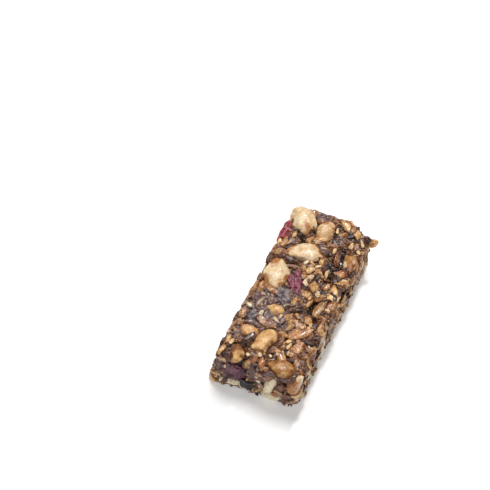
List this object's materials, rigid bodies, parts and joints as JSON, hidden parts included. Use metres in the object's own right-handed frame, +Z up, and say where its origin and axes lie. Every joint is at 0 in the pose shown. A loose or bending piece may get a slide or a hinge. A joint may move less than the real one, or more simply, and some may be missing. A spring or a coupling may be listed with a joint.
{
  "type": "granola bar",
  "caption": "Pressed block of sticky fruit paste packed with nuts, seed kernels, dried fruit and pale crisps, cut with upright sides and lying flat.",
  "frame": {"origin": "middle of the flat underside", "axes": "+X along the bar towards its far end, +Y towards its left side, +Z up"},
  "size_m": [0.0897, 0.0405, 0.0195],
  "materials": {
    "paste": "dark brown fruit paste with a purple-grey sheen, sticky and half glossy, uneven",
    "peanut": "pale blanched peanut half, smooth, with brown syrup in patches and a faint gloss",
    "golden_nut": "toasted golden nut, syrup-stained, half glossy",
    "seed_kernel": "tan sunflower kernel with fine lengthwise streaks and a thin brown syrup coat",
    "cranberry": "wrinkled dried cranberry, burgundy to bright red, glossy and slightly translucent",
    "raisin": "wrinkled blue-black raisin with a soft grey bloom on its ridges",
    "slice": "pale puffed crisp or cut nut slice, dry, finely porous"
  },
  "bodies": {
    "root": {"bar": "paste", "peanut_1": "peanut", "peanut_2": "peanut", "peanut_3": "peanut", "peanut_4": "golden_nut", "peanut_5": "golden_nut", "peanut_6": "golden_nut", "peanut_7": "golden_nut", "peanut_8": "golden_nut", "peanut_9": "golden_nut", "peanut_10": "peanut", "peanut_11": "peanut", "peanut_12": "peanut", "peanut_13": "peanut", "peanut_14": "golden_nut", "nut_piece_1": "golden_nut", "nut_piece_2": "golden_nut", "seed_large_1": "seed_kernel", "seed_large_2": "seed_kernel", "cranberry_1": "cranberry", "cranberry_2": "cranberry", "cranberry_3": "cranberry", "cranberry_4": "cranberry", "cranberry_5": "cranberry", "cranberry_6": "cranberry", "raisin_1": "raisin", "raisin_2": "raisin", "raisin_3": "raisin", "raisin_4": "raisin", "raisin_5": "raisin", "raisin_6": "raisin", "slice_1": "slice", "slice_2": "slice", "slice_3": "slice", "slice_4": "slice", "slice_5": "slice"}
  },
  "joints": []
}
